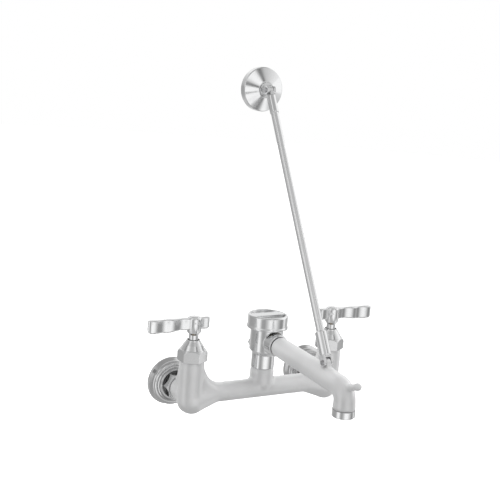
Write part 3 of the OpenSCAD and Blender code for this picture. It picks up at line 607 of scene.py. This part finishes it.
def viewpoint():
    front = Vector((math.sin(AZIMUTH), -math.cos(AZIMUTH), 0.0))
    back = front * math.cos(ELEVATION) + Vector((0.0, 0.0, math.sin(ELEVATION)))
    right = Vector((math.cos(AZIMUTH), math.sin(AZIMUTH), 0.0))
    up = back.cross(right)
    turned_right = right * math.cos(ROLL) + up * math.sin(ROLL)
    turned_up = up * math.cos(ROLL) - right * math.sin(ROLL)
    data = bpy.data.cameras.new("camera")
    data.sensor_fit = "HORIZONTAL"
    data.sensor_width = SENSOR
    data.lens = SENSOR * FOCAL_PIXELS / PICTURE_PIXELS
    camera = bpy.data.objects.new("camera", data)
    bpy.context.scene.collection.objects.link(camera)
    place = TARGET + back * DISTANCE
    camera.matrix_world = Matrix((
        (turned_right.x, turned_up.x, back.x, place.x),
        (turned_right.y, turned_up.y, back.y, place.y),
        (turned_right.z, turned_up.z, back.z, place.z),
        (0.0, 0.0, 0.0, 1.0),
    ))
    bpy.context.scene.camera = camera


# The room that the metal reflects: greys by degrees round the object, 0 at the camera and 90 to its right

LOW_ROW = [
    (-180.0, 0.30), (-160.0, 0.45), (-140.0, 0.60), (-110.0, 0.40), (-75.0, 0.45), (-55.0, 0.85),
    (-20.0, 0.50), (15.0, 0.50), (60.0, 0.55), (110.0, 0.80), (140.0, 0.90), (160.0, 0.55), (180.0, 0.30),
]
MIDDLE_ROW = [
    (-180.0, 0.80), (-140.0, 0.60), (-124.0, 0.40), (-108.0, 0.38), (-78.0, 0.42), (-64.0, 1.00),
    (-46.0, 1.10), (-32.0, 0.42), (-16.0, 0.38), (0.0, 0.66), (14.0, 1.10), (36.0, 1.10), (54.0, 0.80),
    (68.0, 0.50), (80.0, 0.30), (94.0, 0.32), (106.0, 0.90), (116.0, 0.85), (126.0, 0.40), (140.0, 0.60),
    (180.0, 0.80),
]
HIGH_ROW = [
    (-180.0, 0.90), (-155.0, 1.00), (-120.0, 0.50), (-80.0, 0.45), (-62.0, 1.00), (-46.0, 1.00),
    (-20.0, 0.55), (10.0, 0.60), (34.0, 1.05), (60.0, 0.60), (84.0, 0.80), (112.0, 1.10), (155.0, 1.00),
    (180.0, 0.90),
]

# Heights are sines of the elevation, here those over which a row, the ceiling or the ground takes over

MIDDLE_FROM = (-0.55, -0.38)
HIGH_FROM = (0.0, 0.20)
CEILING = (0.42, 0.42, 0.42, 1.0)
CEILING_FROM = (0.62, 0.85)
GROUND = (0.48, 0.48, 0.48, 1.0)
GROUND_FROM = (-0.66, -0.85)

# Cards in front of the rows: their ends in degrees, their ends in height and their grey

DARK_CARD = 0.25
BRIGHT_CARD = 1.10
CARDS = [
    ((-86.0, -54.0), (0.36, 0.58), DARK_CARD),
    ((42.0, 58.0), (0.50, 0.70), 0.22),
    ((20.0, 36.0), (0.30, 0.50), BRIGHT_CARD),
    ((8.0, 28.0), (0.08, 0.22), DARK_CARD),
    ((8.0, 26.0), (-0.11, 0.01), BRIGHT_CARD),
    ((8.0, 28.0), (-0.225, -0.175), DARK_CARD),
    ((22.0, 40.0), (-0.56, -0.44), BRIGHT_CARD),
    ((44.0, 58.0), (-0.70, -0.56), DARK_CARD),
    ((64.0, 82.0), (-0.68, -0.52), BRIGHT_CARD),
    ((94.0, 114.0), (-0.10, 0.28), BRIGHT_CARD),
]
CARD_SOFT_TURN = 0.018
CARD_SOFT_HEIGHT = 0.025
FILL = 0.54
BACKDROP = 1.0


def share_of_turn(angle):
    return angle / 360.0 + 0.5


def math_node(tree, operation, *values):
    node = tree.nodes.new("ShaderNodeMath")
    node.operation = operation
    for socket, value in zip(node.inputs, values):
        if isinstance(value, float):
            socket.default_value = value
        else:
            tree.links.new(value, socket)
    return node.outputs["Value"]


def along(tree, direction, axis):
    node = tree.nodes.new("ShaderNodeVectorMath")
    node.operation = "DOT_PRODUCT"
    tree.links.new(direction, node.inputs[0])
    node.inputs[1].default_value = axis
    return node.outputs["Value"]


def step(tree, value, start, end):
    node = tree.nodes.new("ShaderNodeMapRange")
    node.interpolation_type = "SMOOTHSTEP"
    node.inputs["From Min"].default_value = start
    node.inputs["From Max"].default_value = end
    tree.links.new(value, node.inputs["Value"])
    return node.outputs["Result"]


def mixed(tree, share, first, second):
    node = tree.nodes.new("ShaderNodeMix")
    node.data_type = "RGBA"
    tree.links.new(share, node.inputs["Factor"])
    for socket, colour in (("A", first), ("B", second)):
        if isinstance(colour, tuple):
            node.inputs[socket].default_value = colour
        else:
            tree.links.new(colour, node.inputs[socket])
    return node.outputs["Result"]


def within(tree, value, ends, soft):
    after_start = step(tree, value, ends[0] - soft, ends[0] + soft)
    before_end = step(tree, value, ends[1] + soft, ends[1] - soft)
    return math_node(tree, "MULTIPLY", after_start, before_end)


def row(tree, turn, stops):
    return ramp(tree, turn, [(share_of_turn(angle), (grey, grey, grey)) for angle, grey in stops])


def room(tree):
    direction = tree.nodes.new("ShaderNodeTexCoord").outputs["Generated"]
    front = along(tree, direction, (math.sin(AZIMUTH), -math.cos(AZIMUTH), 0.0))
    side = along(tree, direction, (math.cos(AZIMUTH), math.sin(AZIMUTH), 0.0))
    height = along(tree, direction, (0.0, 0.0, 1.0))
    bearing = math_node(tree, "ARCTAN2", side, front)
    turn = math_node(tree, "ADD", math_node(tree, "DIVIDE", bearing, 2.0 * math.pi), 0.5)
    colour = row(tree, turn, LOW_ROW)
    colour = mixed(tree, step(tree, height, *MIDDLE_FROM), colour, row(tree, turn, MIDDLE_ROW))
    colour = mixed(tree, step(tree, height, *HIGH_FROM), colour, row(tree, turn, HIGH_ROW))
    colour = mixed(tree, step(tree, height, *CEILING_FROM), colour, CEILING)
    colour = mixed(tree, step(tree, height, *GROUND_FROM), colour, GROUND)
    for angles, heights, grey in CARDS:
        across = within(tree, turn, [share_of_turn(angle) for angle in angles], CARD_SOFT_TURN)
        card = math_node(tree, "MULTIPLY", across, within(tree, height, heights, CARD_SOFT_HEIGHT))
        colour = mixed(tree, card, colour, (grey, grey, grey, 1.0))
    return colour


# Metal mirrors the room, while matt surfaces are lit by an even grey and the camera sees plain white
def surroundings():
    world = bpy.data.worlds.new("studio")
    bpy.context.scene.world = world
    world.use_nodes = True
    tree = world.node_tree
    tree.nodes.clear()
    shown = tree.nodes.new("ShaderNodeBackground")
    tree.links.new(room(tree), shown.inputs["Color"])
    path = tree.nodes.new("ShaderNodeLightPath")
    for ray, grey in (("Is Diffuse Ray", FILL), ("Is Camera Ray", BACKDROP)):
        plain = tree.nodes.new("ShaderNodeBackground")
        plain.inputs["Color"].default_value = (grey, grey, grey, 1.0)
        mix = tree.nodes.new("ShaderNodeMixShader")
        tree.links.new(path.outputs[ray], mix.inputs["Fac"])
        tree.links.new(shown.outputs[0], mix.inputs[1])
        tree.links.new(plain.outputs["Background"], mix.inputs[2])
        shown = mix
    out = tree.nodes.new("ShaderNodeOutputWorld")
    tree.links.new(shown.outputs[0], out.inputs["Surface"])


studio()
viewpoint()
surroundings()
soft_light("top_panel", power=13.0, size=(1.6, 1.2), place=(0.2, -0.4, 1.7))
soft_light("left_panel", power=12.0, size=(0.8, 1.2), place=(-0.78, 1.06, 0.30))
soft_light("right_panel", power=10.0, size=(0.8, 1.2), place=(1.30, -0.11, 0.35))
bpy.context.scene.view_settings.view_transform = "Standard"
